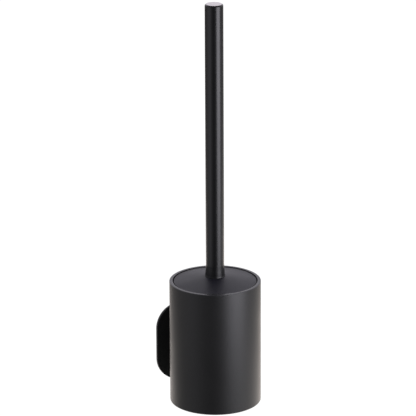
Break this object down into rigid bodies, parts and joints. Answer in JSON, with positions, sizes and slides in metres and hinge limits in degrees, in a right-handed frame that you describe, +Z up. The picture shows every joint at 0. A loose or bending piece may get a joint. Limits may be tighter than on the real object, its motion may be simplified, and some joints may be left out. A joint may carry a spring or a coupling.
{
  "type": "toilet brush holder",
  "caption": "Wall-hung toilet brush holder: a slim black canister with a liner, a flush lid on the brush's long round handle, and a small wall plate.",
  "frame": {"origin": "centre of the wall face, the back of the adhesive pad", "axes": "+Y into the wall, -Y into the room, +Z up along the handle, +X to the right seen from the room"},
  "size_m": [0.095, 0.1035, 0.428],
  "materials": {
    "canister_coat": "satin black powder coat on aluminium",
    "lid_coat": "satin black powder coat on aluminium",
    "handle_coat": "semi-gloss black coat on steel",
    "plate_coat": "matt black coat on steel",
    "bracket_steel": "bare stainless steel",
    "rivet_steel": "plain steel",
    "stud_steel": "zinc-plated steel",
    "brass": "turned brass",
    "foam_tape": "white foam tape",
    "liner_plastic": "black moulded polypropylene",
    "core_plastic": "black moulded polypropylene",
    "washer_nylon": "natural nylon",
    "gasket_silicone": "black silicone",
    "bristle_nylon": "black nylon bristles"
  },
  "bodies": {
    "wall_bracket": {"adhesive_pad": "foam_tape", "wall_plate": "plate_coat", "hook_strap": "bracket_steel", "strap_rivets": "rivet_steel"},
    "canister": {"canister_shell": "canister_coat", "hanger_bracket": "plate_coat", "hanger_screws": "stud_steel"},
    "liner": {"liner": "liner_plastic"},
    "brush": {"handle_tube": "handle_coat", "handle_cap": "handle_coat", "handle_insert": "stud_steel", "tie_stud": "stud_steel", "handle_collar": "handle_coat", "lid_disc": "lid_coat", "lid_gasket": "gasket_silicone", "lid_washer": "stud_steel", "lid_nut": "stud_steel"},
    "head_carrier": {"head_washer": "washer_nylon"},
    "head": {"brush_core": "core_plastic", "head_insert": "brass", "side_bristles": "bristle_nylon", "end_bristles": "bristle_nylon"}
  },
  "joints": [
    {"name": "canister_lift_off", "type": "slide", "parent": "wall_bracket", "child": "canister", "axis": [0, 0, 1], "range_m": [0, 0.04]},
    {"name": "liner_lift_out", "type": "slide", "parent": "canister", "child": "liner", "axis": [0, 0, 1], "range_m": [0, 0.13]},
    {"name": "brush_lift_out", "type": "slide", "parent": "liner", "child": "brush", "axis": [0, 0, 1], "range_m": [0, 0.14]},
    {"name": "head_travel", "type": "slide", "parent": "brush", "child": "head_carrier", "axis": [0, 0, -1], "range_m": [0, 0.01]},
    {"name": "head_unscrew", "type": "hinge", "parent": "head_carrier", "child": "head", "pos_m": [0, -0.056, 0.0688], "axis": [0, 0, -1], "range_deg": [0, 2880]}
  ],
  "couplings": [
    {"joint": "head_unscrew", "follows": "head_travel", "rad_per_m": 5026.5}
  ]
}
